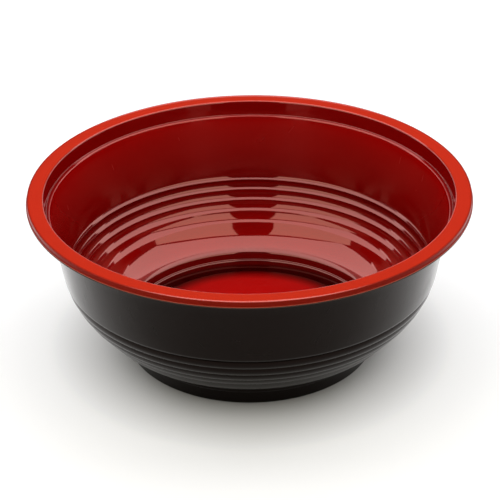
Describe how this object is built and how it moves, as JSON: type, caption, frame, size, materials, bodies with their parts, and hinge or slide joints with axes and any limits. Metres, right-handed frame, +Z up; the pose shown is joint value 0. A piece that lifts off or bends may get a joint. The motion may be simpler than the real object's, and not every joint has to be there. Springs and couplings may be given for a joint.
{
  "type": "takeout bowl",
  "caption": "Round open food bowl with a flat trimmed rim, a ledge under it, a stepped lower wall and a foot ring, red inside and black outside.",
  "frame": {"origin": "on the bowl's axis, in the plane of the foot ring's underside, where the bowl stands on the table", "axes": "+Z up along the bowl's axis, through the open mouth; the bowl is round, so +X and +Y have no feature of their own"},
  "size_m": [0.1884, 0.1884, 0.0732],
  "materials": {
    "red_plastic": "high gloss, formed against no mould face",
    "black_plastic": "satin gloss from the mould face"
  },
  "bodies": {
    "root": {"red_inner_layer": "red_plastic", "black_outer_layer": "black_plastic"}
  },
  "joints": []
}
